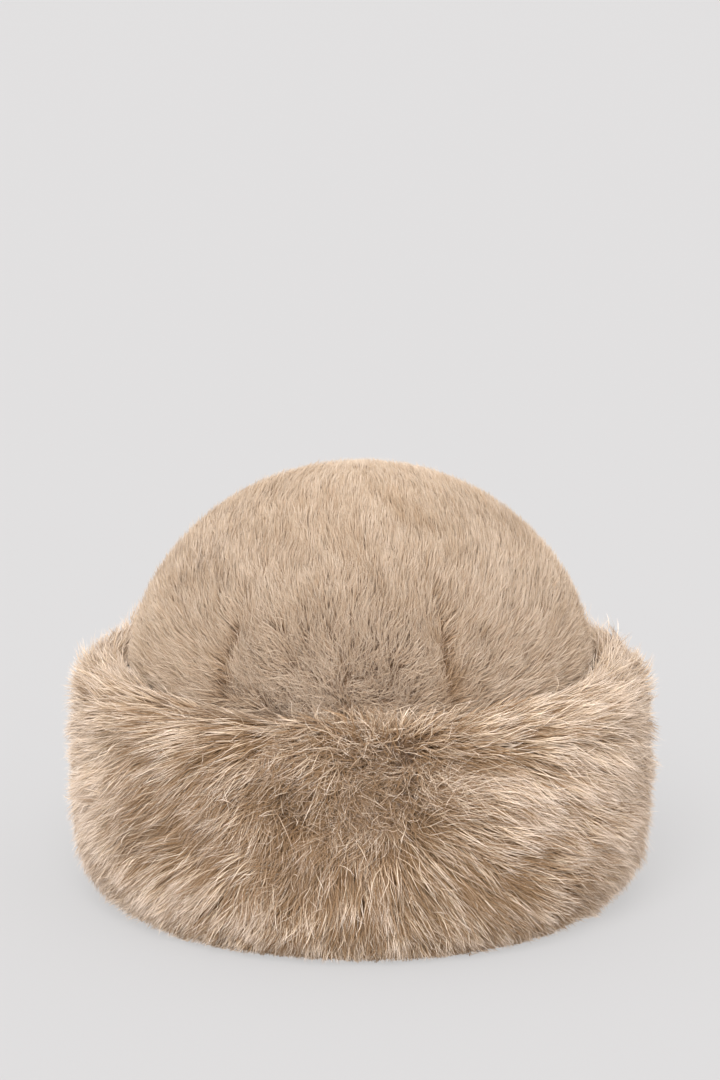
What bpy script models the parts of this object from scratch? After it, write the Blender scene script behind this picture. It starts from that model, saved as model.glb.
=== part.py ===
# A fur hat: a domed crown of six gores in short pile, and a deep turned-up cuff in long pile.
# Metres, +Z up. The front faces -Y. The origin is on the surface that the hat rests on, under its middle.
# Azimuths are in radians round Z, from the middle of the front towards +X.
import math

import bmesh
import bpy

# Head opening, inside the crown at its lower edge
HEAD_WIDTH = 0.182
HEAD_DEPTH = 0.193

# Crown, over its short pile
HAT_HEIGHT = 0.2035
CROWN_WIDTH = 0.220
CROWN_WALL = 0.012
SPRING_HEIGHT = 0.1015

# Turned-up cuff, over its long pile
CUFF_WIDTH = 0.272
CUFF_HEIGHT = 0.1225
CUFF_ROUND = 0.026
HEM_THICKNESS = 0.003

# Pile relief: how deep the partings lie below the tips, and how large the locks are
CUFF_RELIEF = 0.0080
CUFF_LOCK_WIDTH = 0.036
CUFF_LOCK_LENGTH = 0.034
CUFF_LEAN = 0.6
CROWN_RELIEF = 0.0030
CROWN_LOCK_WIDTH = 0.031
CROWN_LOCK_LENGTH = 0.030
CROWN_LEAN = 0.3

# Seams of the crown
GORES = 6
FRONT_SEAM = math.radians(-37)
SEAM_DIP = 0.0028
SEAM_DIP_WIDTH = 0.011

# Clearances
SEAM_GAP = 0.0003
CUFF_GAP = 0.0003

# Fineness of the meshes
GORE_STEPS = 12
CUFF_STEPS = 120
CUFF_ROWS = 26
SKIRT_ROWS = 2
DOME_ROWS = 15
BACKING_ROWS = 5

# Colours as sRGB
CROWN_COLOUR = (0.745, 0.655, 0.565)
CUFF_COLOUR = (0.690, 0.592, 0.500)
PILE_ROUGHNESS = 0.9

# Outer side of the cuff, from the edge of its flat foot up and over the rim to the crown.
# reach: share of the way from the crown's widest radius to the cuff's. height: share of the cuff's height.
CUFF_SECTION = (
    {"reach": 0.10, "height": 0.00},
    {"reach": 0.38, "height": 0.045},
    {"reach": 0.66, "height": 0.11},
    {"reach": 0.88, "height": 0.21},
    {"reach": 1.00, "height": 0.37},
    {"reach": 1.00, "height": 0.58},
    {"reach": 0.98, "height": 0.75},
    {"reach": 0.90, "height": 0.88},
    {"reach": 0.66, "height": 0.97},
    {"reach": 0.36, "height": 1.00},
    {"reach": 0.12, "height": 0.98},
    {"reach": 0.00, "height": 0.93},
)

# Soft dents in the crown, as the pile lies in the photograph.
# azimuth: degrees. rise: share of the quarter turn from the spring line to the top.
# across, along: half sizes as shares of the crown's width. depth: share of the crown's wall.
CROWN_DENTS = (
    {"azimuth": 38, "rise": 0.76, "across": 0.05, "along": 0.12, "depth": 0.22},
    {"azimuth": -20, "rise": 0.88, "across": 0.07, "along": 0.08, "depth": 0.14},
    {"azimuth": -6, "rise": 0.17, "across": 0.16, "along": 0.07, "depth": 0.18},
    {"azimuth": 160, "rise": 0.45, "across": 0.14, "along": 0.12, "depth": 0.16},
)

OVAL = HEAD_DEPTH / HEAD_WIDTH
GORE_ANGLE = 2 * math.pi / GORES
# Each gore moves out from the axis by this much, so that its flat sides stand SEAM_GAP from the next gore's.
GORE_SHIFT = SEAM_GAP / (2 * math.sin(GORE_ANGLE / 2))
BACKING = -1.0


def linear(colour):
    return tuple(c / 12.92 if c <= 0.04045 else ((c + 0.055) / 1.055) ** 2.4 for c in colour)


def clamp(value, low=0.0, high=1.0):
    return max(low, min(high, value))


def eased(value):
    value = clamp(value)
    return value * value * (3 - 2 * value)


def pile_material(name, colour):
    material = bpy.data.materials.new(name)
    material.use_nodes = True
    shader = material.node_tree.nodes["Principled BSDF"]
    shader.inputs["Base Color"].default_value = (*linear(colour), 1)
    shader.inputs["Roughness"].default_value = PILE_ROUGHNESS
    shader.inputs["Metallic"].default_value = 0.0
    return material


# The crown's radius on the side axis at a height. inset is 0 on the pile and CROWN_WALL on the backing.
def crown_radius(height, inset=0.0):
    widest = CROWN_WIDTH / 2 - inset
    if height >= SPRING_HEIGHT:
        rise = (height - SPRING_HEIGHT) / (HAT_HEIGHT - SPRING_HEIGHT - inset)
        return widest * math.sqrt(max(0.0, 1 - rise * rise))
    lowest = HEAD_WIDTH / 2 + CROWN_WALL - inset
    return lowest + (widest - lowest) * math.sin(math.pi / 2 * height / SPRING_HEIGHT)


# One side of the crown's wall from its lower edge to the top, as (radius, height, along).
# along is BACKING below the spring line and runs from 0 there to 1 at the top.
def crown_side(inset, dome_rows):
    lower = HEM_THICKNESS + CUFF_GAP
    points = []
    for row in range(SKIRT_ROWS):
        height = lower + (SPRING_HEIGHT - lower) * row / SKIRT_ROWS
        points.append((crown_radius(height, inset), height, BACKING))
    for row in range(dome_rows + 1):
        angle = math.pi / 2 * row / dome_rows
        radius = (CROWN_WIDTH / 2 - inset) * math.cos(angle)
        height = SPRING_HEIGHT + (HAT_HEIGHT - SPRING_HEIGHT - inset) * math.sin(angle)
        points.append((radius if row < dome_rows else 0.0, height, row / dome_rows))
    return points


def crown_profile():
    pile_side = crown_side(0.0, DOME_ROWS)
    backing = [(r, z, BACKING) for r, z, _ in crown_side(CROWN_WALL, BACKING_ROWS)]
    return pile_side + backing[::-1]


# A smooth curve through (radius, height) points, resampled to count even steps.
def smooth_curve(points, count):
    fine = []
    for i in range(len(points) - 1):
        before = points[max(i - 1, 0)]
        start, end = points[i], points[i + 1]
        after = points[min(i + 2, len(points) - 1)]
        for step in range(16):
            t = step / 16
            fine.append(tuple(
                0.5 * (2 * b + (c - a) * t + (2 * a - 5 * b + 4 * c - d) * t**2 + (3 * b - a - 3 * c + d) * t**3)
                for a, b, c, d in zip(before, start, end, after)
            ))
    fine.append(points[-1])
    lengths = [0.0]
    for a, b in zip(fine, fine[1:]):
        lengths.append(lengths[-1] + math.dist(a, b))
    even = []
    i = 0
    for step in range(count + 1):
        wanted = lengths[-1] * step / count
        while i < len(fine) - 2 and lengths[i + 1] < wanted:
            i += 1
        share = (wanted - lengths[i]) / (lengths[i + 1] - lengths[i])
        even.append(tuple(a + (b - a) * share for a, b in zip(fine[i], fine[i + 1])))
    return even, lengths[-1]


# Where the cuff's inner face stands against the crown at a height.
def cuff_inner(height):
    return crown_radius(height) + GORE_SHIFT + CUFF_GAP


# The cuff's closed profile, as (radius, height, along), and the length of its furred side.
# It runs from the flat foot over the rim and down against the crown to the hem under the crown's edge.
def cuff_profile():
    inner = CROWN_WIDTH / 2 + GORE_SHIFT + CUFF_GAP
    reach = CUFF_WIDTH / 2 - inner
    rows = [(inner + reach * row["reach"], CUFF_HEIGHT * row["height"]) for row in CUFF_SECTION]
    curve, length = smooth_curve(rows, CUFF_ROWS)
    furred = [(r, z, step / CUFF_ROWS) for step, (r, z) in enumerate(curve)]
    wall_heights = [z for _, z, _ in crown_side(0.0, DOME_ROWS) if z < rows[-1][1] - CUFF_GAP]
    wall = [(cuff_inner(z), z, BACKING) for z in wall_heights[:0:-1]]
    hem = [
        (cuff_inner(HEM_THICKNESS), HEM_THICKNESS, BACKING),
        (HEAD_WIDTH / 2, HEM_THICKNESS, BACKING),
        (HEAD_WIDTH / 2, 0.0, BACKING),
    ]
    return furred + wall + hem, length


# How high the pile stands at a place, from 0 in a parting to 1 on a lock's crest.
# around counts locks round the hat, and along counts rows towards the locks' tips.
def lock_height(around, along):
    row = math.floor(along)
    down = along - row
    around += 0.5 * (row % 2) + 0.21 * math.sin(2.3 * row)
    side = 2 * abs(around - round(around))
    taper = 1.0 - 0.5 * down * down
    crest = eased(1.15 * (1 - side / taper))
    swell = eased(down / 0.6) * (1 - 0.75 * eased((down - 0.72) / 0.28))
    return crest * (0.3 + 0.7 * swell)


def turn_to_seam(azimuth):
    share = (azimuth - FRONT_SEAM) / GORE_ANGLE
    return abs(share - round(share)) * GORE_ANGLE


# How far the crown's pile lies below its full height at a place.
def crown_drop(azimuth, along, radius, height):
    locks = round(math.pi * CROWN_WIDTH / CROWN_LOCK_WIDTH)
    meridian = math.pi / 4 * (CROWN_WIDTH / 2 + HAT_HEIGHT - SPRING_HEIGHT)
    rows = (1 - along) * meridian / CROWN_LOCK_LENGTH
    around = locks * azimuth / (2 * math.pi) + CROWN_LEAN * rows * math.sin(azimuth)
    thinning = eased(radius / (2 * CROWN_LOCK_WIDTH))
    drop = CROWN_RELIEF * (1 - lock_height(around, rows)) * thinning
    from_seam = radius * turn_to_seam(azimuth)
    drop += SEAM_DIP * (1 - eased(from_seam / SEAM_DIP_WIDTH)) * thinning
    for dent in CROWN_DENTS:
        turn = math.remainder(azimuth - math.radians(dent["azimuth"]), 2 * math.pi)
        across = radius * turn / (dent["across"] * CROWN_WIDTH)
        up = (along - dent["rise"]) * meridian / (dent["along"] * CROWN_WIDTH)
        drop += dent["depth"] * CROWN_WALL * math.exp(-across * across - up * up)
    # The pile is plain where the cuff covers it.
    return drop * eased((height - CUFF_HEIGHT) / CROWN_WALL)


def cuff_drop(azimuth, along, length):
    locks = round(math.pi * CUFF_WIDTH / CUFF_LOCK_WIDTH)
    rows = (1 - along) * length / CUFF_LOCK_LENGTH
    around = locks * azimuth / (2 * math.pi) + CUFF_LEAN * rows * math.sin(azimuth)
    ends = eased(along / 0.12) * eased((1 - along) / 0.12)
    return CUFF_RELIEF * (1 - lock_height(around, rows)) * ends


# Turns a closed profile of (radius, height, along) rows about Z. Each vertex keeps its row's along value.
def turned(profile, start, turn, steps):
    bm = bmesh.new()
    along = bm.verts.layers.float.new("along")
    verts = []
    for radius, height, share in profile:
        vert = bm.verts.new((radius * math.sin(start), -radius * math.cos(start), height))
        vert[along] = share
        verts.append(vert)
    whole = turn > 2 * math.pi - 1e-6
    if whole:
        loop = [bm.edges.new((a, b)) for a, b in zip(verts, verts[1:] + verts[:1])]
        geometry = verts + loop
    else:
        cap = bm.faces.new(verts)
        geometry = verts + list(cap.edges) + [cap]
    bmesh.ops.spin(
        bm, geom=geometry, cent=(0, 0, 0), axis=(0, 0, 1), angle=turn, steps=steps, use_merge=whole
    )
    bmesh.ops.remove_doubles(bm, verts=bm.verts, dist=1e-6)
    return bm


# Presses each furred vertex in by drop(azimuth, along, radius, height), towards the point that core gives.
def press_pile(bm, drop, core):
    along = bm.verts.layers.float["along"]
    for vert in bm.verts:
        if vert[along] < 0:
            continue
        azimuth = math.atan2(vert.co.x, -vert.co.y)
        radius, height = math.hypot(vert.co.x, vert.co.y), vert.co.z
        core_radius, core_height = core(radius, height)
        inward = (core_radius - radius, core_height - height)
        depth = drop(azimuth, vert[along], radius, height) / max(math.hypot(*inward), 1e-9)
        radius += inward[0] * depth
        vert.co = (radius * math.sin(azimuth), -radius * math.cos(azimuth), height + inward[1] * depth)


def finish(name, bm, material, collection, shift=(0.0, 0.0)):
    for vert in bm.verts:
        vert.co.x += shift[0]
        vert.co.y = (vert.co.y + shift[1]) * OVAL
    bmesh.ops.recalc_face_normals(bm, faces=bm.faces)
    mesh = bpy.data.meshes.new(name)
    bm.to_mesh(mesh)
    bm.free()
    mesh.materials.append(material)
    mesh.shade_smooth()
    mesh.set_sharp_from_angle(angle=math.radians(50))
    obj = bpy.data.objects.new(name, mesh)
    collection.objects.link(obj)
    return obj


def make_gore(number, material, collection):
    start = FRONT_SEAM + (number - 1) * GORE_ANGLE
    middle = start + GORE_ANGLE / 2
    bm = turned(crown_profile(), start, GORE_ANGLE, GORE_STEPS)
    press_pile(bm, crown_drop, lambda radius, height: (0.0, SPRING_HEIGHT))
    shift = (GORE_SHIFT * math.sin(middle), -GORE_SHIFT * math.cos(middle))
    return finish(f"crown_gore_{number}", bm, material, collection, shift)


def make_cuff(material, collection):
    profile, length = cuff_profile()
    bm = turned(profile, 0.0, 2 * math.pi, CUFF_STEPS)

    def core(radius, height):
        return CUFF_WIDTH / 2 - CUFF_ROUND, clamp(height, CUFF_ROUND, CUFF_HEIGHT - CUFF_ROUND / 2)

    press_pile(bm, lambda azimuth, along, radius, height: cuff_drop(azimuth, along, length), core)
    return finish("cuff", bm, material, collection)


def main():
    for obj in list(bpy.data.objects):
        bpy.data.objects.remove(obj, do_unlink=True)
    hat = bpy.data.collections.new("cuffed_fur_hat")
    bpy.context.scene.collection.children.link(hat)
    crown_pile = pile_material("crown_pile", CROWN_COLOUR)
    cuff_pile = pile_material("cuff_pile", CUFF_COLOUR)
    for number in range(1, GORES + 1):
        make_gore(number, crown_pile, hat)
    make_cuff(cuff_pile, hat)


main()
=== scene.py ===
import math

import bmesh
import bpy
import numpy as np
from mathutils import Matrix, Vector
from mathutils.kdtree import KDTree


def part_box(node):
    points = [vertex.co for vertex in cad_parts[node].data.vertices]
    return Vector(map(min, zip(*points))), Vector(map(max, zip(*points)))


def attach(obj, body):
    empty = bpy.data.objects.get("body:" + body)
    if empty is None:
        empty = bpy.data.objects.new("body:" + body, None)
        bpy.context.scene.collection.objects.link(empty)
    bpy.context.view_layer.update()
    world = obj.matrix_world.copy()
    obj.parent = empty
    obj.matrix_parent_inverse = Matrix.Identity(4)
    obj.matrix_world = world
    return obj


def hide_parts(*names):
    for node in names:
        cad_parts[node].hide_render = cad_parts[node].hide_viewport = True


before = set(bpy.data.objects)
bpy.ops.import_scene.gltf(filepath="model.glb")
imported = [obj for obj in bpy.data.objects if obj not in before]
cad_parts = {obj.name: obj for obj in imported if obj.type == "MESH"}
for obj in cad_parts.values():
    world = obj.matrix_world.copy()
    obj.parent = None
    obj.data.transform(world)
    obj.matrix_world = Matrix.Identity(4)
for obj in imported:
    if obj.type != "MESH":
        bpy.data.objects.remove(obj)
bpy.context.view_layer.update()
print("frame loaded")

# Sizes that everything else follows. The front faces -Y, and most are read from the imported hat.
cuffLow, cuffHigh = [Vector(corner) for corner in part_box("cuff")]
goreNames = sorted(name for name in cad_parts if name.startswith("crown_gore"))
goreBoxes = [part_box(name) for name in goreNames]
cuffRadius = (cuffHigh.x - cuffLow.x) / 2
cuffHeight = cuffHigh.z
oval = (cuffHigh.y - cuffLow.y) / (cuffHigh.x - cuffLow.x)
crownRadius = max(high[0] for low, high in goreBoxes)
hatHeight = max(high[2] for low, high in goreBoxes)
springHeight = hatHeight / 2
crownWall = 0.012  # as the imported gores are
headRadius = 0.091  # half the width of the opening inside them
tau = 2 * math.pi
goldenTurn = math.pi * (3 - math.sqrt(5))


def hexColour(text):  # sRGB hex to the linear numbers that a shader takes
    values = [int(text[i:i + 2], 16) / 255 for i in (1, 3, 5)]
    return tuple(v / 12.92 if v <= 0.04045 else ((v + 0.055) / 1.055) ** 2.4 for v in values) + (1.0,)


# Adds a node. The settings name a property of it, or one of its inputs written as in_Name.
def addNode(tree, kind, links=(), **settings):
    node = tree.nodes.new(kind)
    for key, value in settings.items():
        if key.startswith("in_"):
            name = key[3:]
            node.inputs[int(name) if name.isdigit() else name.replace("_", " ")].default_value = value
        else:
            setattr(node, key, value)
    for socket, source in links:
        tree.links.new(source, node.inputs[socket])
    return node


def newMaterial(name):
    material = bpy.data.materials.new(name)
    material.use_nodes = True
    return material, material.node_tree, material.node_tree.nodes["Principled BSDF"]


def setStops(ramp, stops):
    elements = ramp.color_ramp.elements
    while len(elements) > len(stops):
        elements.remove(elements[-1])
    while len(elements) < len(stops):
        elements.new(1.0)
    for element, (place, colour) in zip(elements, stops):
        element.position = place
        element.color = hexColour(colour)


# Modacrylic fur pile, brushed: matt soft strands that are brown at the root and pale at the tip.
# The map's u is each strand's own shade and v runs from root to tip, so every strand differs.
strandLook = {
    "roughness": 0.6, "specular": 0.3, "sheen": 0.4, "sheenRoughness": 0.5, "sheenTint": "#fff0e2",
    # how fast a fine streak and a warm tint come and go over the shades, and how strong they are
    "streakScale": 330.0, "streak": 0.16, "warmScale": 90.0, "warm": 0.35,
}


def furMaterial(name, colours):
    material, tree, shader = newMaterial(name)
    shader.inputs["Roughness"].default_value = strandLook["roughness"]
    shader.inputs["Specular IOR Level"].default_value = strandLook["specular"]
    shader.inputs["Sheen Weight"].default_value = strandLook["sheen"]
    shader.inputs["Sheen Roughness"].default_value = strandLook["sheenRoughness"]
    shader.inputs["Sheen Tint"].default_value = hexColour(strandLook["sheenTint"])
    place = addNode(tree, "ShaderNodeUVMap", uv_map="OFBake")
    split = addNode(tree, "ShaderNodeSeparateXYZ", [(0, place.outputs[0])])
    dark, pale = [addNode(tree, "ShaderNodeValToRGB", [(0, split.outputs["Y"])]) for _ in range(2)]
    setStops(dark, colours["dark"])
    setStops(pale, colours["pale"])
    streak, hue = [
        addNode(
            tree, "ShaderNodeTexNoise", [("W", split.outputs["X"])],
            noise_dimensions="1D", in_Scale=scale, in_Detail=detail,
        ) for scale, detail in ((strandLook["streakScale"], 0.0), (strandLook["warmScale"], 1.0))
    ]
    spread = addNode(
        tree, "ShaderNodeMapRange", [(0, streak.outputs[0])],
        in_1=0.2, in_2=0.8, in_3=-strandLook["streak"], in_4=strandLook["streak"],
    )
    depth = addNode(
        tree, "ShaderNodeMath", [(0, split.outputs["X"]), (1, spread.outputs[0])],
        operation="ADD", use_clamp=True,
    )
    shade = addNode(
        tree, "ShaderNodeMix",
        [(0, depth.outputs[0]), (6, dark.outputs[0]), (7, pale.outputs[0])], data_type="RGBA",
    )
    warm = addNode(
        tree, "ShaderNodeMapRange", [(0, hue.outputs[0])], in_1=0.35, in_2=0.7, in_4=strandLook["warm"],
    )
    tint = addNode(
        tree, "ShaderNodeMix",
        [(0, warm.outputs[0]), (6, shade.outputs[2])], data_type="RGBA", blend_type="MULTIPLY",
        in_7=hexColour(colours["warm"]),
    )
    tree.links.new(tint.outputs[2], shader.inputs["Base Color"])
    return material


# Each ramp runs from root to tip, and a strand's own shade lies between the dark one and the pale one.
cuffColours = {
    "dark": [(0.0, "#452c15"), (0.35, "#664625"), (0.75, "#846440"), (1.0, "#987854")],
    "pale": [(0.0, "#694a2b"), (0.3, "#aa8a66"), (0.65, "#dfc9af"), (1.0, "#fff0e3")],
    "warm": "#fff4ea",
}
crownColours = {
    "dark": [(0.0, "#735537"), (0.4, "#987b5c"), (1.0, "#b1997e")],
    "pale": [(0.0, "#8d765f"), (0.4, "#c3ae98"), (1.0, "#ddcdbb")],
    "warm": "#fff0e6",
}


# Dense underfur at the strands' roots: soft brown fuzz with no gloss, seen only in the partings.
underfurLook = {
    "roughness": 0.95, "tuft": 1 / 420, "height": 0.0015,  # tufts 2.4 mm across, which just show
    "colours": [(0.3, "#5f4731"), (0.55, "#856950"), (0.8, "#a78a70")],
}


def underfurMaterial():
    material, tree, shader = newMaterial("brushed_underfur")
    shader.inputs["Roughness"].default_value = underfurLook["roughness"]
    place = addNode(tree, "ShaderNodeTexCoord")
    fuzz = addNode(
        tree, "ShaderNodeTexNoise", [("Vector", place.outputs["Object"])],
        in_Scale=1 / underfurLook["tuft"], in_Detail=4.0, in_Roughness=0.7,
    )
    ramp = addNode(tree, "ShaderNodeValToRGB", [(0, fuzz.outputs[0])])
    setStops(ramp, underfurLook["colours"])
    bump = addNode(
        tree, "ShaderNodeBump", [("Height", fuzz.outputs[0])],
        in_Strength=0.6, in_Distance=underfurLook["height"],
    )
    tree.links.new(ramp.outputs[0], shader.inputs["Base Color"])
    tree.links.new(bump.outputs[0], shader.inputs["Normal"])
    return material


# Warp-knitted polyester backing inside the hat: matt beige cloth with fine upright ribs. The ribs and the
# stitches are about twice their real size here, so that they show.
knit = {
    "roughness": 0.88, "sheen": 0.15, "rib": 0.0022, "stitch": 0.0016, "height": 0.0006,
    "colours": [(0.0, "#8b755f"), (1.0, "#b8a189")],
}


def backingMaterial():
    material, tree, shader = newMaterial("knitted_backing")
    shader.inputs["Roughness"].default_value = knit["roughness"]
    shader.inputs["Sheen Weight"].default_value = knit["sheen"]
    place = addNode(tree, "ShaderNodeUVMap", uv_map="cloth")
    ribs, stitches = [
        addNode(
            tree, "ShaderNodeTexWave", [("Vector", place.outputs[0])],
            bands_direction=across, in_Scale=tau / size / 20, in_Distortion=distortion, in_Detail=1.0,
        ) for across, size, distortion in (("X", knit["rib"], 1.0), ("Y", knit["stitch"], 1.5))
    ]
    both = addNode(
        tree, "ShaderNodeMath", [(0, ribs.outputs["Fac"]), (1, stitches.outputs["Fac"])],
        operation="MULTIPLY",
    )
    ramp = addNode(tree, "ShaderNodeValToRGB", [(0, both.outputs[0])])
    setStops(ramp, knit["colours"])
    bump = addNode(
        tree, "ShaderNodeBump", [("Height", both.outputs[0])], in_Strength=0.5, in_Distance=knit["height"],
    )
    tree.links.new(ramp.outputs[0], shader.inputs["Base Color"])
    tree.links.new(bump.outputs[0], shader.inputs["Normal"])
    return material


def eased(value, low=0.0, high=1.0):  # a smooth step from 0 at low to 1 at high
    share = np.clip((value - low) / (high - low), 0.0, 1.0)
    return share * share * (3 - 2 * share)


def unit(vectors):
    return vectors / np.maximum(np.linalg.norm(vectors, axis=-1, keepdims=True), 1e-9)


def softNoise(points, size, seed, waves=24):  # smooth noise of about -2 to 2, with bumps of this size
    rng = np.random.default_rng(seed)
    ways = unit(rng.normal(size=(waves, 3))) * (tau / size) * rng.uniform(0.45, 1.2, (waves, 1))
    return np.cos(points @ ways.T + rng.uniform(0, tau, waves)).sum(1) * math.sqrt(2 / waves)


# Both piles are described round the hat's axis, as (radius, turn, height), and the turn is 0 in front.
def toSpace(radius, turn, height):
    return np.stack([radius * np.sin(turn), -radius * np.cos(turn) * oval, height], -1)


def smoothRow(points, count, finely=24):  # even points on a smooth curve through these
    points = np.array(points, float)
    ends = np.vstack([2 * points[0] - points[1], points, 2 * points[-1] - points[-2]])
    share = np.linspace(0, 1, finely, endpoint=False)[:, None]
    runs = []
    for a, b, c, d in zip(ends, ends[1:], ends[2:], ends[3:]):
        runs.append(0.5 * (2 * b + (c - a) * share + (2 * a - 5 * b + 4 * c - d) * share**2
                           + (3 * b - a - 3 * c + d) * share**3))
    fine = np.vstack(runs + [points[-1:]])
    along = np.concatenate([[0], np.cumsum(np.linalg.norm(np.diff(fine, axis=0), axis=1))])
    even = np.linspace(0, along[-1], count)
    return np.stack([np.interp(even, along, fine[:, k]) for k in (0, 1)], 1)


cuffShape = {
    # share of the band's reach from the crown, share of its height
    "outer": [
        (0.10, 0.00), (0.38, 0.045), (0.66, 0.11), (0.88, 0.21), (1.00, 0.37), (1.00, 0.58),
        (0.98, 0.75), (0.90, 0.88), (0.66, 0.97), (0.36, 1.00), (0.12, 0.98), (0.00, 0.93),
    ],
    "roots": [
        (0.03, 0.030), (0.18, 0.065), (0.33, 0.13), (0.44, 0.24), (0.48, 0.38), (0.48, 0.56),
        (0.47, 0.71), (0.40, 0.84), (0.22, 0.90), (0.04, 0.89),
    ],
}


def cuffRow(kind, count):
    reach = cuffRadius - crownRadius
    return smoothRow([(crownRadius + reach * r, cuffHeight * z) for r, z in cuffShape[kind]], count)


def crownRow(count, inset, start=0.02):  # from the spring line, or a share above it, to the top
    angle = np.linspace(start, 1.0, count) * math.pi / 2
    rise = hatHeight - springHeight - inset
    return np.stack([(crownRadius - inset) * np.cos(angle), springHeight + rise * np.sin(angle)], 1)


def outwardOf(row):  # the directions that point out of a row, which runs up the hat
    slope = unit(np.gradient(row, axis=0))
    return np.stack([slope[:, 1], -slope[:, 0]], 1), slope


# Sets out count even places on the surface that a row of (radius, height) sweeps round the hat.
def setOut(row, count, rng):
    middle = (row[1:] + row[:-1]) / 2
    area = np.concatenate([[0], np.cumsum(np.linalg.norm(np.diff(row, axis=0), axis=1) * middle[:, 0])])
    order = np.arange(count)
    step = np.interp((order + rng.uniform(0, 1, count)) / count * area[-1], area, np.arange(len(row)))
    turn = order * goldenTurn + rng.normal(0, 0.5, count) / math.sqrt(count)
    outward, slope = outwardOf(row)

    def across(values):
        return np.stack([np.interp(step, np.arange(len(row)), values[:, k]) for k in (0, 1)], 1)

    spot = across(row)
    place = {
        "radius": spot[:, 0], "height": spot[:, 1], "turn": (turn + math.pi) % tau - math.pi,
        "out": unit(across(outward)), "rise": unit(across(slope)),
    }
    place["spot"] = toSpace(place["radius"], place["turn"], place["height"])
    return place


def outside(radius, height, row):  # how far points lie outside a row, and which way is out
    outward, _ = outwardOf(row)
    gap = (radius[:, None] - row[:, 0]) ** 2 + (height[:, None] - row[:, 1]) ** 2
    near = gap.argmin(1)
    out = outward[near]
    return (radius - row[near, 0]) * out[:, 0] + (height - row[near, 1]) * out[:, 1], out


def tableOf(keys, rows):  # one dictionary of these keys for each row
    return [dict(zip(keys.split(), row)) for row in rows]


# Where the cuff's pile parts or lies low in the photograph. Turns are in degrees, the rest in metres.
cuffHollows = tableOf("turn height size", [
    (-12, 0.085, 0.013), (4, 0.098, 0.009), (-11, 0.058, 0.012), (9, 0.045, 0.010), (27, 0.047, 0.010),
    (44, 0.027, 0.011), (-44, 0.056, 0.011), (-28, 0.064, 0.011), (18, 0.098, 0.008), (3, 0.080, 0.012),
    (29, 0.101, 0.006), (152, 0.070, 0.013), (-118, 0.048, 0.012), (96, 0.058, 0.011),
])
# Broad painted light and shade over the cuff: a tone below 0 is painted shade, above 0 painted light.
cuffPaintedShading = tableOf("turn height size tone", [
    (-10, 0.070, 0.048, -0.48), (-42, 0.103, 0.019, -0.16), (29, 0.034, 0.030, -0.30),
    (38, 0.116, 0.017, 0.22), (34, 0.084, 0.012, 0.16), (-74, 0.075, 0.036, 0.28),
    (-39, 0.073, 0.026, -0.22), (62, 0.080, 0.024, 0.05), (-40, 0.030, 0.018, 0.16),
    (5, 0.020, 0.016, 0.06), (-12, 0.084, 0.017, -0.18),
])
# How the long pile is combed. A lie is where the tips point, in degrees: 0 is round the hat towards +X
# in front, 90 up and -90 down. A curl of 1 is a tangle.
cuffCombing = tableOf("turn height lie curl", [
    (-90, 0.105, -174, 0.0), (-62, 0.108, -172, 0.0), (-44, 0.106, -157, 0.0), (-26, 0.108, -150, 0.2),
    (-9, 0.112, -165, 0.6), (4, 0.113, 115, 1.0), (14, 0.112, 34, 0.6), (25, 0.111, 16, 0.1),
    (38, 0.110, 0, 0.0), (54, 0.108, -10, 0.0), (72, 0.106, -6, 0.0), (95, 0.104, -8, 0.0),
    (-80, 0.078, -160, 0.0), (-58, 0.080, -143, 0.0), (-40, 0.080, -136, 0.1), (-23, 0.081, -134, 0.4),
    (-10, 0.086, -150, 0.9), (3, 0.090, -120, 1.0), (12, 0.084, -25, 0.8), (24, 0.088, -36, 0.1),
    (37, 0.086, -48, 0.0), (53, 0.082, -46, 0.0), (75, 0.080, -30, 0.0), (4, 0.071, -80, 0.8),
    (13, 0.067, -12, 0.3), (24, 0.062, -20, 0.0), (38, 0.058, -24, 0.0), (54, 0.054, -28, 0.0),
    (78, 0.052, -28, 0.0), (-72, 0.050, -146, 0.0), (-50, 0.050, -138, 0.0), (-30, 0.052, -132, 0.1),
    (-13, 0.056, -118, 0.4), (-3, 0.052, -106, 0.1), (5, 0.050, -84, 0.0), (12, 0.050, -50, 0.0),
    (22, 0.042, -38, 0.0), (38, 0.034, -30, 0.0), (56, 0.026, -36, 0.0), (84, 0.024, -44, 0.0),
    (-80, 0.022, -136, 0.0), (-52, 0.022, -132, 0.0), (-34, 0.022, -126, 0.0), (-19, 0.022, -116, 0.0),
    (-7, 0.024, -102, 0.0), (5, 0.022, -90, 0.0), (16, 0.020, -66, 0.0), (32, 0.016, -48, 0.0),
    (-130, 0.105, -160, 0.0), (-125, 0.065, -128, 0.1), (-130, 0.025, -116, 0.0),
    (132, 0.105, -14, 0.0), (128, 0.065, -48, 0.0), (130, 0.025, -62, 0.0), (158, 0.108, -34, 0.2),
    (-164, 0.108, -130, 0.3), (172, 0.070, -78, 0.2), (176, 0.028, -88, 0.0),
])


def column(table, key):
    return np.array([row[key] for row in table], float)


spotShape = 1.4  # how much wider than high the tables' spots are
guideReach = {"upright": 1.35, "core": 0.007}  # guides fade faster up the hat, and are even over their core


def spots(place, table):  # 1 in the middle of each of a table's spots, falling to 0 round it
    side = (place["turn"][:, None] - np.radians(column(table, "turn")) + math.pi) % tau - math.pi
    rise = place["height"][:, None] - column(table, "height")
    far = np.hypot(side * place["radius"][:, None] / spotShape, rise) / column(table, "size")
    return np.exp(-far**2)


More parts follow.
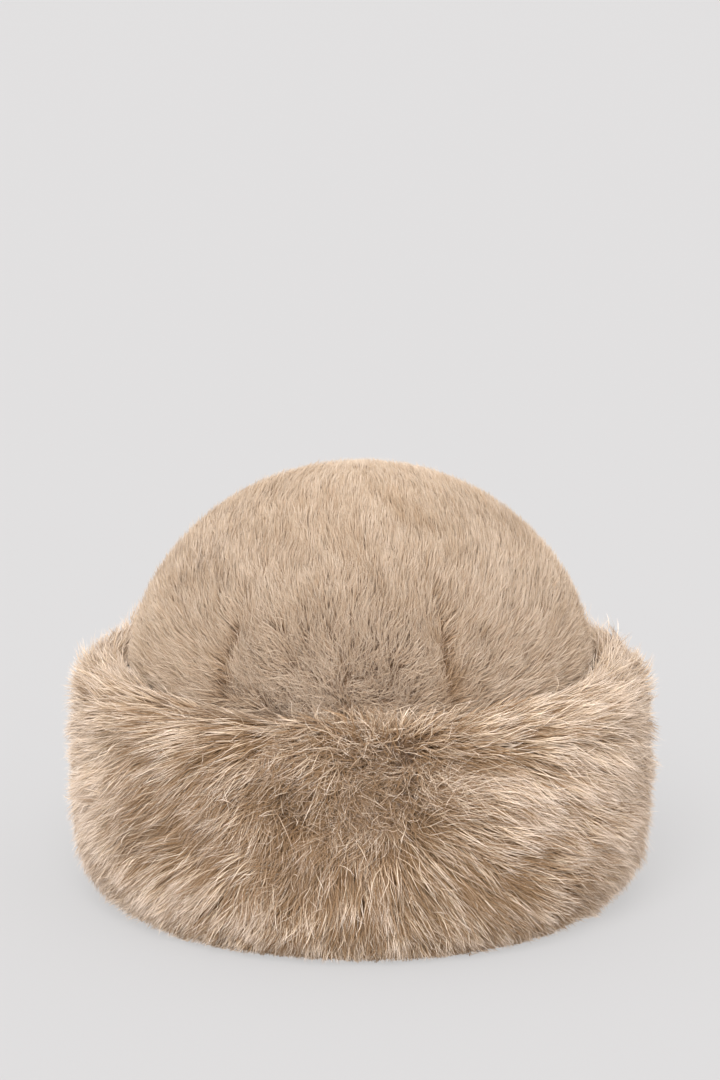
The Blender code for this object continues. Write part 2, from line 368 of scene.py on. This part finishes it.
def combed(place, table):  # the lie and the curl between a table's guides, each ruling round itself
    lie = np.radians(column(table, "lie"))
    side = (place["turn"][:, None] - np.radians(column(table, "turn")) + math.pi) % tau - math.pi
    rise = place["height"][:, None] - column(table, "height")
    far = (side * cuffRadius) ** 2 + (guideReach["upright"] * rise) ** 2
    weight = 1 / (far + guideReach["core"] ** 2) ** 2
    weight /= weight.sum(1, keepdims=True)
    return np.arctan2(weight @ np.sin(lie), weight @ np.cos(lie)), weight @ column(table, "curl")


cuffPile = {
    "strands": 102500, "segments": 3, "length": 0.031, "width": 0.00031, "slack": 0.0008, "face": 0.5,
    "grain": 0.0016, "loose": 0.15, "looseStand": 0.15, "pieces": 3, "sway": 0.26, "pace": 0.6,
    "scatter": 0.11, "contrast": 0.27, "lookAhead": 0.8, "stand": 0.93,
    # how much lower the pile lies, and how much painted shade darkens it in its hollows
    "rimDrop": 0.42, "floorDrop": 0.13, "hollowDrop": 0.24, "hollowTone": 0.30,
    "clumps": tableOf("number pull contrast lift", [
        (17000, 0.50, 0.25, 0.0005), (3800, 0.38, 0.20, 0.0015), (900, 0.18, 0.05, 0.0),
    ]),
}
cuffUnder = {
    **cuffPile, "strands": 11500, "length": 0.024, "width": 0.0013, "face": 0.25, "grain": 0.012,
    "loose": 0.0, "pieces": 1, "clumps": tableOf("number pull contrast lift", [(3800, 0.30, 0.12, 0.0)]),
}
cuffFrizz = {
    **cuffPile, "strands": 34000, "segments": 7, "length": 0.023, "width": 0.00020, "slack": 0.0018,
    "loose": 0.5, "pieces": 1, "sway": 1.0, "pace": 0.9, "scatter": 0.5,
    "clumps": tableOf("number pull contrast lift", [(9000, 0.06, 0.08, 0.0006)]),
}


# The long pile's lie, length, height and shade at each place, from the tables and the areas named here.
def cuffLay(place, spec, seed):
    turn, height, spot = place["turn"], place["height"], place["spot"]
    heading, curl = combed(place, cuffCombing)
    hollow = spots(place, cuffHollows).max(1)
    front = np.exp(-(turn / 0.85) ** 4)
    right = np.exp(-((turn - 0.50) / 0.3) ** 2 - ((height - 0.075) / 0.030) ** 2)
    sideRim = eased(np.abs(turn), 0.9, 1.5) * eased(height, 0.102, 0.112)
    nearFloor = 1 - eased(height, 0.004, 0.034)
    step = spec["lookAhead"] * spec["length"]
    ahead = {
        "turn": turn + step * np.cos(heading) / cuffRadius,
        "height": height + step * np.sin(heading) * place["rise"][:, 1],
    }
    bend = (combed(ahead, cuffCombing)[0] - heading + math.pi) % tau - math.pi
    heading += (0.10 + 0.60 * curl) * softNoise(spot, 0.013, seed + 2) + 0.10 * softNoise(spot, 0.034, seed)
    length = spec["length"] * (1 - 0.30 * curl) * (1 + 0.07 * softNoise(spot, 0.030, seed + 3))
    stand = spec["stand"] + 0.07 * softNoise(spot, 0.014, seed + 4)
    stand += 0.05 * softNoise(spot, 0.035, seed + 5)
    stand -= spec["rimDrop"] * sideRim
    stand -= spec["floorDrop"] * nearFloor
    # Painted light makes the pile paler up at the rim, and the broad spots add their painted light and
    # shade; the rest of the tone varies at random.
    tone = 0.08 * eased(height, 0.095, 0.118) + 0.05 * softNoise(spot, 0.020, seed + 6)
    tone += spots(place, cuffPaintedShading) @ column(cuffPaintedShading, "tone")
    contrast = 0.58 + front * (1.15 - 0.15 * eased(height, 0.015, 0.050)) + 0.70 * right
    return {
        "heading": heading, "bend": np.clip(bend, -0.9, 0.9) * (1 - curl),
        "length": length * (0.55 + 0.45 * eased(height, 0.0, 0.040)),
        # in the hollows the pile lies lower and is darkened with painted shade
        "stand": stand - spec["hollowDrop"] * hollow, "tone": tone - spec["hollowTone"] * hollow,
        "pull": 1 - 0.75 * curl, "scatter": spec["scatter"] * (1 + 9.0 * curl**2),
        "sway": spec["sway"] * (1 + 1.8 * curl),
        "contrast": contrast - 0.20 * curl - 0.25 * eased(height, 0.100, 0.114),
        "thick": 1 - 0.30 * curl, "density": np.ones(len(height)),
    }


def cuffUnderLay(place, spec, seed):  # broad flat wisps that fill the depth below the strands
    pile = cuffLay(place, spec, seed)
    pile["stand"] = pile["stand"] - 0.30
    pile["tone"] = pile["tone"] - 0.16
    return pile


def cuffFrizzLay(place, spec, seed):  # fine curly hairs over the top, most of them in the tangles
    pile = cuffLay(place, {**spec, "sway": spec["sway"] / 2, "scatter": spec["scatter"] / 2}, seed)
    curl = combed(place, cuffCombing)[1]
    pile["density"] = 0.13 + 0.87 * eased(curl, 0.1, 0.8)
    pile["stand"] = 1.0 + 0.06 * softNoise(place["spot"], 0.010, seed + 7)
    pile["tone"] = pile["tone"] + 0.40
    return pile


# The crown's short pile stands out from the dome and is brushed up and away from the middle of the front.
crownPile = {
    "strands": 90000, "segments": 2, "length": 0.0115, "width": 0.00034, "slack": 0.0006, "inset": 0.0074,
    "face": 0.5, "grain": 0.0016, "loose": 0.12, "looseStand": 0.27, "pieces": 2, "sway": 0.15, "pace": 0.5,
    "scatter": 0.20, "contrast": 0.10, "stand": 0.97, "seams": 6, "firstSeam": -37.0, "parting": 0.0038,
    "brushTurn": -8.0, "brushHeight": 0.110, "whorl": 0.045,
    "clumps": tableOf("number pull contrast lift", [
        (20000, 0.40, 0.12, 0.0001), (5000, 0.15, 0.07, 0.0003), (1500, 0.06, 0.04, 0.0),
    ]),
}
crownUnder = {
    **crownPile, "strands": 9000, "length": 0.0095, "width": 0.0011, "face": 0.25, "grain": 0.010,
    "loose": 0.0, "pieces": 1, "clumps": tableOf("number pull contrast lift", [(5000, 0.15, 0.08, 0.0)]),
}
crownFrizz = {
    **crownPile, "strands": 13000, "segments": 4, "length": 0.0095, "width": 0.00022, "slack": 0.0012,
    "loose": 0.5, "pieces": 1, "sway": 0.9, "pace": 1.0, "scatter": 0.4,
    "clumps": tableOf("number pull contrast lift", [(5000, 0.05, 0.06, 0.0003)]),
}
# Broad painted light and shade over the crown, and painted shade in its small creases.
crownPaintedShading = tableOf("turn height size tone", [
    (42, 0.140, 0.028, 0.08), (-3, 0.113, 0.009, -0.14), (-32, 0.112, 0.008, -0.16),
    (13, 0.108, 0.008, -0.14), (-1, 0.119, 0.004, -0.22), (24, 0.124, 0.011, -0.26),
    (23, 0.145, 0.011, -0.20), (17, 0.192, 0.004, -0.20), (27, 0.187, 0.004, -0.20),
    (34, 0.182, 0.004, -0.16), (55, 0.116, 0.010, -0.10),
])


def crownLay(place, spec, seed):
    turn, spot, radius, height = place["turn"], place["spot"], place["radius"], place["height"]
    whorl = spec["whorl"]
    gore = tau / spec["seams"]
    share = (turn - math.radians(spec["firstSeam"])) / gore
    fromSeam = (share - np.round(share)) * gore * radius
    nearSeam = np.exp(-(fromSeam / spec["parting"]) ** 2) * (0.10 + 0.90 * eased(0.160 - height, 0, 0.045))
    nearSeam *= eased(radius, 0.010, 0.050)
    leaning = np.exp(-(fromSeam / spec["parting"] / 1.8) ** 2) * eased(0.170 - height, 0, 0.045)
    front = np.exp(-((turn + 0.13) / 0.55) ** 2 - ((height - 0.122) / 0.025) ** 2)
    right = np.exp(-((turn - 0.6) / 0.45) ** 2) * eased(0.170 - height, 0, 0.030)
    side = 0.45 * radius * np.sin(turn - math.radians(spec["brushTurn"]))
    rise = 0.004 + 0.030 * (1 - np.cos(turn)) / 2 + np.maximum(height - spec["brushHeight"], 0) * 1.1
    over = eased(height, 0.160, 0.185)  # the lie runs on over the top and together at a whorl behind it
    side += over * (1.5 * whorl * np.sin(turn) - side)
    rise += over * (1.5 * (radius + whorl * np.cos(turn)) - rise)
    tangled = np.exp(-(radius**2 + whorl**2 + 2 * radius * whorl * np.cos(turn)) / 0.012**2)
    heading = np.arctan2(rise, side)
    heading += 0.14 * softNoise(spot, 0.040, seed)
    heading += (0.14 + 0.50 * front) * softNoise(spot, 0.011, seed + 1)
    around = np.cos(heading) + 1.1 * np.sign(fromSeam) * leaning
    shades = spots(place, crownPaintedShading) @ column(crownPaintedShading, "tone")
    stand = spec["stand"] + 0.04 * softNoise(spot, 0.014, seed + 3)
    stand += 0.06 * over - 0.38 * nearSeam + np.minimum(shades, 0)
    # Painted shade darkens the pile along the seams and a little over the top, and painted light makes it
    # paler low in front.
    tone = 0.05 * softNoise(spot, 0.030, seed + 4) - 0.32 * nearSeam + 0.09 * front - 0.06 * over + shades
    length = spec["length"] * (1 + 0.05 * softNoise(spot, 0.022, seed + 2)) * (1 - 0.15 * nearSeam)
    return {
        "heading": np.arctan2(np.sin(heading), around), "bend": np.zeros(len(turn)), "stand": stand,
        "tone": tone, "length": length, "pull": 1 - 0.7 * front - 0.4 * tangled,
        "scatter": spec["scatter"] * (1 + 2.2 * front + 4.0 * tangled),
        "sway": spec["sway"] * (1 + 2.5 * front), "contrast": 1.0 + 0.1 * front + 0.3 * right,
        "thick": 1 - 0.25 * front, "density": np.ones(len(turn)),
    }


def crownUnderLay(place, spec, seed):
    pile = crownLay(place, spec, seed)
    pile["stand"] = pile["stand"] - 0.30
    pile["tone"] = pile["tone"] - 0.10
    return pile


def crownFrizzLay(place, spec, seed):
    pile = crownLay(place, {**spec, "sway": spec["sway"] / 2, "scatter": spec["scatter"] / 2}, seed)
    near = np.exp(-((place["turn"] + 0.13) / 0.6) ** 2 - ((place["height"] - 0.125) / 0.024) ** 2)
    pile["density"] = 0.22 + 0.78 * near
    pile["stand"] = 1.08 + 0.06 * softNoise(place["spot"], 0.010, seed + 7)
    pile["tone"] = pile["tone"] + 0.16
    return pile


# The middle line of each strand: it leaves the skin steeply and turns over to lie along its heading.
arch = {"rise": 0.55, "run": 0.55, "upright": 0.92, "leastRadius": 0.02}


def drawStrands(place, pile, outer, steps):
    depth = -outside(place["radius"], place["height"], outer)[0]
    height = np.minimum(depth * pile["stand"], pile["length"] * arch["upright"])
    reach = np.sqrt(pile["length"] ** 2 - height**2)
    t = np.linspace(0, 1, steps + 1)[None]
    up = height[:, None] * ((1 + arch["rise"]) * t - arch["rise"] * t * t)
    stride = reach[:, None] * np.diff((1 - arch["run"]) * t + arch["run"] * t * t)
    middle = (t[:, 1:] + t[:, :-1]) / 2
    swing = np.sin(tau * (pile["pace"][:, None] * middle + pile["phase"][:, None]))
    heading = pile["heading"][:, None] + pile["bend"][:, None] * middle + pile["sway"][:, None] * swing
    rest = np.zeros((len(reach), 1))
    around = np.hstack([rest, np.cumsum(stride * np.cos(heading), 1)])
    rise = np.hstack([rest, np.cumsum(stride * np.sin(heading), 1)])
    radius = place["radius"][:, None] + place["out"][:, :1] * up + place["rise"][:, :1] * rise
    level = place["height"][:, None] + place["out"][:, 1:] * up + place["rise"][:, 1:] * rise
    turn = place["turn"][:, None] + around / np.maximum(place["radius"], arch["leastRadius"])[:, None]
    return toSpace(radius, turn, level)


def nearest(points, centres):
    tree = KDTree(len(centres))
    for i, centre in enumerate(centres):
        tree.insert(centre, i)
    tree.balance()
    return np.array([tree.find(point)[1] for point in points])


# Stray strands are drawn less into the wisps, scatter more, are paler and stand out further.
stray = {"scatter": 2.2, "length": 0.85, "pull": 0.25, "contrast": 0.5, "tone": 0.14, "slack": 3.0}
# How much the strands differ from one another, and how far they stay clear of the floor.
varied = {
    "length": 0.10, "stand": 0.07, "guideStand": 0.08, "guideHeading": 0.10, "slack": 0.6,
    "sway": (0.3, 1.6), "pace": (0.6, 1.4), "pull": (0.6, 1.25), "width": (0.5, 1.5),
}
floorGap = {"least": 0.0003, "spread": 0.0010}


# Grows all strands of one pile. Most are drawn together into wisps, and the wisps into locks.
def growPile(roots, outer, spec, layPile, seed):
    rng = np.random.default_rng(seed)
    steps = spec["segments"]
    place = setOut(roots, spec["strands"], rng)
    pile = layPile(place, spec, seed)
    kept = rng.uniform(0, 1, spec["strands"]) < pile["density"]
    place = {key: value[kept] for key, value in place.items()}
    pile = {key: value[kept] for key, value in pile.items()}
    count = len(place["turn"])
    loose = rng.uniform(0, 1, count) < spec["loose"]
    pile["heading"] += rng.normal(0, 1, count) * pile["scatter"] * np.where(loose, stray["scatter"], 1.0)
    pile["length"] *= rng.normal(1.0, varied["length"], count).clip(0.6, 1.25)
    pile["length"] *= np.where(loose, stray["length"], 1.0)
    pile["stand"] *= rng.normal(1.0, varied["stand"], count)
    pile["stand"] += np.where(loose, spec["looseStand"], 0.0)
    pile["sway"] *= rng.uniform(*varied["sway"], count)
    pile["pace"] = spec["pace"] * rng.uniform(*varied["pace"], count)
    pile["phase"] = rng.uniform(0, 1, count)
    paths = drawStrands(place, pile, outer, steps)
    shade = rng.normal(0, spec["contrast"], count)
    lift = np.zeros(count)
    t = np.linspace(0, 1, steps + 1)[None, :, None]
    for clump in spec["clumps"]:
        number = clump["number"]
        guide = setOut(roots, number, rng)
        lead = layPile(guide, spec, seed)
        lead["heading"] += rng.normal(0, 1, number) * (varied["guideHeading"] + lead["scatter"])
        lead["length"] *= rng.normal(1.03, varied["length"], number)
        lead["stand"] *= rng.normal(1, varied["guideStand"], number)
        lead["pace"] = lead["phase"] = rng.uniform(0, 1, number)
        guides = drawStrands(guide, lead, outer, steps)
        own = nearest(place["spot"], guide["spot"])
        pull = clump["pull"] * rng.uniform(*varied["pull"], number)
        strength = pile["pull"] * np.where(loose, stray["pull"], 1.0) * pull[own]
        paths += (guides[own] - paths) * strength[:, None, None] * t**1.3
        shade += rng.normal(0, clump["contrast"], number)[own] * np.where(loose, stray["contrast"], 1.0)
        lift += clump["lift"] * rng.exponential(1.0, number).clip(0, 2.5)[own]
    shade = pile["tone"] + shade * pile["contrast"] + np.where(loose, stray["tone"], 0.0)
    lift *= pile["pull"]
    normal = toSpace(place["out"][:, 0], place["turn"], place["out"][:, 1])
    paths += normal[:, None] * lift[:, None, None] * t**2
    play = np.where(loose, stray["slack"], 1.0) + np.abs(rng.normal(0, varied["slack"], count))
    slack = lift + spec["slack"] * play
    for step in range(1, steps + 1):  # what stands out past the hat's outer form is laid down on it
        x, y, z = paths[:, step].T
        radius, turn = np.hypot(x, y / oval), np.arctan2(x, -y / oval)
        over, out = outside(radius, z, outer)
        back = np.maximum(over - slack, 0) * (1 - 0.25 * eased(z, 0.010, 0.030))
        paths[:, step] = toSpace(radius - back * out[:, 0], turn, z - back * out[:, 1])
    width = spec["width"] * pile["thick"] * rng.uniform(*varied["width"], count)
    least = floorGap["least"] + width / 2 + floorGap["spread"] * rng.uniform(0, 1, count)
    paths[:, :, 2] = np.maximum(paths[:, :, 2], least[:, None])
    return place, normal, paths, shade, width


def bladeShape(segments):  # one flat tapered strand, as its corners' (side, share) and its faces
    blade = bmesh.new()
    bmesh.ops.create_grid(blade, x_segments=1, y_segments=segments, size=0.5)
    tip = [v for v in blade.verts if v.co.y > 0.49]
    bmesh.ops.pointmerge(blade, verts=tip, merge_co=(0, 0.5, 0))
    blade.verts.index_update()
    corners = np.array([(2 * v.co.x, v.co.y + 0.5) for v in blade.verts])
    faces = [[v.index for v in face.verts] for face in blade.faces]
    blade.free()
    return corners, faces


# Repeats the blade along each middle line as one joined mesh. The map OFBake holds shade and root to tip.
def plantStrands(name, normal, paths, shade, width, spec, material, seed):
    rng = np.random.default_rng(seed)
    corners, faces = bladeShape(spec["segments"])
    count, each = len(paths), len(corners)
    level = np.round(corners[:, 1] * spec["segments"]).astype(int)
    taper = (1.0 - 0.45 * (corners[:, 1] - 0.3) ** 2)[None]  # widest near a third of the way up
    along = unit(paths[:, -1] - paths[:, 0])
    facing = unit(normal + rng.normal(0, spec["face"], (count, 3)))
    sideways = unit(np.cross(along, facing))
    spread = corners[None, :, 0] * taper * width[:, None] / 2
    points = paths[:, level] + sideways[:, None] * spread[:, :, None]
    sizes = np.array([len(face) for face in faces])
    flat = np.concatenate([np.array(face) for face in faces])
    loops = (flat[None] + np.arange(count)[:, None] * each).ravel()
    totals = np.tile(sizes, count)
    mesh = bpy.data.meshes.new(name)
    mesh.vertices.add(count * each)
    mesh.vertices.foreach_set("co", points.astype(np.float32).ravel())
    mesh.loops.add(len(loops))
    mesh.loops.foreach_set("vertex_index", loops.astype(np.int32))
    mesh.polygons.add(len(totals))
    mesh.polygons.foreach_set("loop_start", np.concatenate([[0], np.cumsum(totals)[:-1]]).astype(np.int32))
    mesh.update(calc_edges=True)
    tone = np.clip(0.5 + shade, 0.03, 0.97)  # within the map, for the bake
    u = tone[:, None] + corners[None, :, 0] * spec["grain"]
    v = 0.02 + 0.96 * np.broadcast_to(corners[None, :, 1], u.shape)
    layer = mesh.uv_layers.new(name="OFBake")
    layer.uv.foreach_set("vector", np.stack([u, v], 2).reshape(-1, 2)[loops].astype(np.float32).ravel())
    mesh.shade_smooth()
    mesh.materials.append(material)
    piece = bpy.data.objects.new(name, mesh)
    bpy.context.scene.collection.objects.link(piece)
    return piece


def plantPile(name, roots, outer, spec, layPile, material, seed, slot):
    place, normal, paths, shade, width = growPile(roots, outer, spec, layPile, seed)
    part = ((place["turn"] + math.pi / spec["pieces"]) % tau // (tau / spec["pieces"])).astype(int)
    planted = []
    for number in range(spec["pieces"]):
        here = part == number
        label = f"{name}_{number + 1}" if spec["pieces"] > 1 else name
        piece = plantStrands(
            label, normal[here], paths[here], shade[here], width[here], spec, material, seed + number,
        )
        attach(piece, "root")
        planted.append(piece)
        print("planted", label, int(here.sum()), "strands")
    return planted


# Turns a closed (radius, height) outline round the hat. skin marks the faces that carry fur, from their
# radius and height and whether they face outwards.
def turnShell(name, outline, skin, steps, materials):
    shell = bmesh.new()
    verts = [shell.verts.new((0, -r, z)) for r, z in outline]
    closed = outline[0][0] > 1e-6
    chain = zip(verts, verts[1:] + verts[:1]) if closed else zip(verts, verts[1:])
    edges = [shell.edges.new(pair) for pair in chain]
    bmesh.ops.spin(
        shell, geom=verts + edges, cent=(0, 0, 0), axis=(0, 0, 1), angle=tau, steps=steps, use_merge=True,
    )
    bmesh.ops.remove_doubles(shell, verts=shell.verts, dist=1e-6)
    bmesh.ops.scale(shell, vec=(1, oval, 1), verts=shell.verts)
    bmesh.ops.recalc_face_normals(shell, faces=shell.faces)
    cloth = shell.loops.layers.uv.new("cloth")
    for face in shell.faces:
        middle = face.calc_center_median()
        facing = Vector((middle.x, middle.y, 0)).normalized().dot(face.normal)
        furred = skin(math.hypot(middle.x, middle.y / oval), middle.z, facing > 0.05 or face.normal.z > 0.7)
        face.material_index = 0 if furred else 1
        turn = math.atan2(middle.x, -middle.y)
        for loop in face.loops:
            x, y, z = loop.vert.co
            here = math.atan2(x, -y) if math.hypot(x, y) > 1e-6 else turn
            here += tau * round((turn - here) / tau)
            loop[cloth].uv = (here * headRadius, z + math.hypot(x, y) * 0.7)
        face.smooth = True
    mesh = bpy.data.meshes.new(name)
    shell.to_mesh(mesh)
    shell.free()
    mesh.set_sharp_from_angle(angle=math.radians(50))
    for material in materials:
        mesh.materials.append(material)
    piece = bpy.data.objects.new(name, mesh)
    bpy.context.scene.collection.objects.link(piece)
    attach(piece, "root")
    return piece


crownShell = {"points": 24, "steps": 96, "hem": 0.0033, "ease": 0.004}
cuffShell = {
    "points": 30, "steps": 120, "footHeight": 0.0006, "footThick": 0.003, "footReach": 0.003,
    "gap": 0.0006, "wallHeights": (0.105, 0.092, 0.075), "wallFoot": 0.0035,
    "bulge": 0.0055, "bulgeHeight": 0.05,
}


def makeCrownShell(underfur, backing):
    hem, ease, halfway = crownShell["hem"], crownShell["ease"], springHeight * 0.5
    outer = [tuple(point) for point in crownRow(crownShell["points"], crownPile["inset"])]
    inner = [tuple(point) for point in crownRow(crownShell["points"], crownWall)]
    lowOuter = headRadius + crownWall - crownPile["inset"]
    outline = [(0.0, inner[-1][1])] + inner[-2::-1] + [(headRadius + ease, halfway), (headRadius, hem)]
    outline += [(lowOuter, hem), (lowOuter + ease, halfway)] + outer[:-1] + [(0.0, outer[-1][1])]
    piece = turnShell(
        "crown_shell", outline, lambda r, z, out: out, crownShell["steps"], [underfur, backing],
    )
    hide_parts(*goreNames)
    return piece


def makeCuffShell(underfur, backing):
    gap, foot, thick = cuffShell["gap"], cuffShell["footHeight"], cuffShell["footThick"]
    inside = headRadius + crownWall
    band = [tuple(point) for point in cuffRow("roots", cuffShell["points"])]
    wall = [(crownRadius + gap, z) for z in cuffShell["wallHeights"]]
    wall += [(inside + cuffShell["bulge"], cuffShell["bulgeHeight"]), (inside + gap, cuffShell["wallFoot"])]
    outline = [(headRadius, foot), (crownRadius + cuffShell["footReach"], foot)] + band + wall
    outline += [(inside, thick), (headRadius, thick)]
    piece = turnShell(
        "cuff_shell", outline, lambda r, z, out: z > 0.001 and r > crownRadius + 0.0007,
        cuffShell["steps"], [underfur, backing],
    )
    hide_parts("cuff")
    return piece


# A seamless pale floor and soft studio light from all round, strongest from above in front.
studio = {
    "floor": "#666566", "roughness": 0.9, "specular": 0.1,
    "glow": 0.51,  # the floor is lit from below, so shadows stay faint
    "white": (1.0, 0.99, 0.985, 1), "world": 1.0,
    "key": {"strength": 3.1, "soft": 34.0, "turn": (48, -10, 0)},
    "fill": {"strength": 0.6, "soft": 90.0, "turn": (60, 40, 0)},
}


def makeStudio():
    bpy.ops.mesh.primitive_plane_add(size=30)
    floor = bpy.context.object
    floor.name = "studio_floor"
    material, tree, shader = newMaterial("painted_floor")
    shader.inputs["Base Color"].default_value = hexColour(studio["floor"])
    shader.inputs["Roughness"].default_value = studio["roughness"]
    shader.inputs["Specular IOR Level"].default_value = studio["specular"]
    shader.inputs["Emission Color"].default_value = studio["white"]
    shader.inputs["Emission Strength"].default_value = studio["glow"]
    floor.data.materials.append(material)
    world = bpy.data.worlds.new("studio")
    bpy.context.scene.world = world
    world.use_nodes = True
    world.node_tree.nodes["Background"].inputs[0].default_value = studio["white"]
    world.node_tree.nodes["Background"].inputs[1].default_value = studio["world"]
    for name in ("key", "fill"):
        light = bpy.data.lights.new(name, "SUN")
        light.energy = studio[name]["strength"]
        light.angle = math.radians(studio[name]["soft"])
        lamp = bpy.data.objects.new(name, light)
        lamp.rotation_euler = [math.radians(a) for a in studio[name]["turn"]]
        bpy.context.scene.collection.objects.link(lamp)


# The photograph's view: a long lens from in front and a little above, with the frame shifted up from the
# hat. A pixel is its size in metres at the hat, and the aim falls on the photograph's row aimRow.
view = {
    "elevation": 15.5, "distance": 4.0, "aim": (-0.0006, 0.0, 0.085), "pixel": 0.00047,
    "aimRow": 712, "frameHeight": 1080, "sensor": 36.0,
}


def makeCamera():
    camera = bpy.data.cameras.new("photo_camera")
    camera.sensor_width = view["sensor"]
    camera.lens = view["sensor"] * view["distance"] / (view["pixel"] * view["frameHeight"])
    camera.shift_y = (view["aimRow"] - view["frameHeight"] / 2) / view["frameHeight"]
    eye = bpy.data.objects.new("photo_camera", camera)
    rise = math.radians(view["elevation"])
    aim = Vector(view["aim"])
    eye.location = aim + Vector((0, -math.cos(rise), math.sin(rise))) * view["distance"]
    eye.rotation_euler = (math.pi / 2 - rise, 0, 0)
    bpy.context.scene.collection.objects.link(eye)
    bpy.context.scene.camera = eye
    bpy.context.scene.view_settings.view_transform = "Standard"


makeCamera()
makeStudio()
print("camera and studio set")
underfur, backing = underfurMaterial(), backingMaterial()
made = [makeCrownShell(underfur, backing), makeCuffShell(underfur, backing)]
print("shells turned")
crown = (crownRow(60, crownPile["inset"], 0.045), crownRow(80, 0.0))  # the roots and the hat's outer form
cuff = (cuffRow("roots", 60), cuffRow("outer", 90))
shortPile = furMaterial("brushed_short_pile", crownColours)
longPile = furMaterial("brushed_long_pile", cuffColours)
for name, spec, layPile in (
    ("crown_pile", crownPile, crownLay), ("crown_under_pile", crownUnder, crownUnderLay),
    ("crown_frizz", crownFrizz, crownFrizzLay),
):
    made += plantPile(name, *crown, spec, layPile, shortPile, 11, "crown_pile")
for name, spec, layPile in (
    ("cuff_pile", cuffPile, cuffLay), ("cuff_under_pile", cuffUnder, cuffUnderLay),
    ("cuff_frizz", cuffFrizz, cuffFrizzLay),
):
    made += plantPile(name, *cuff, spec, layPile, longPile, 31, "cuff_pile")
print("triangles made", sum(len(face.vertices) - 2 for piece in made for face in piece.data.polygons))
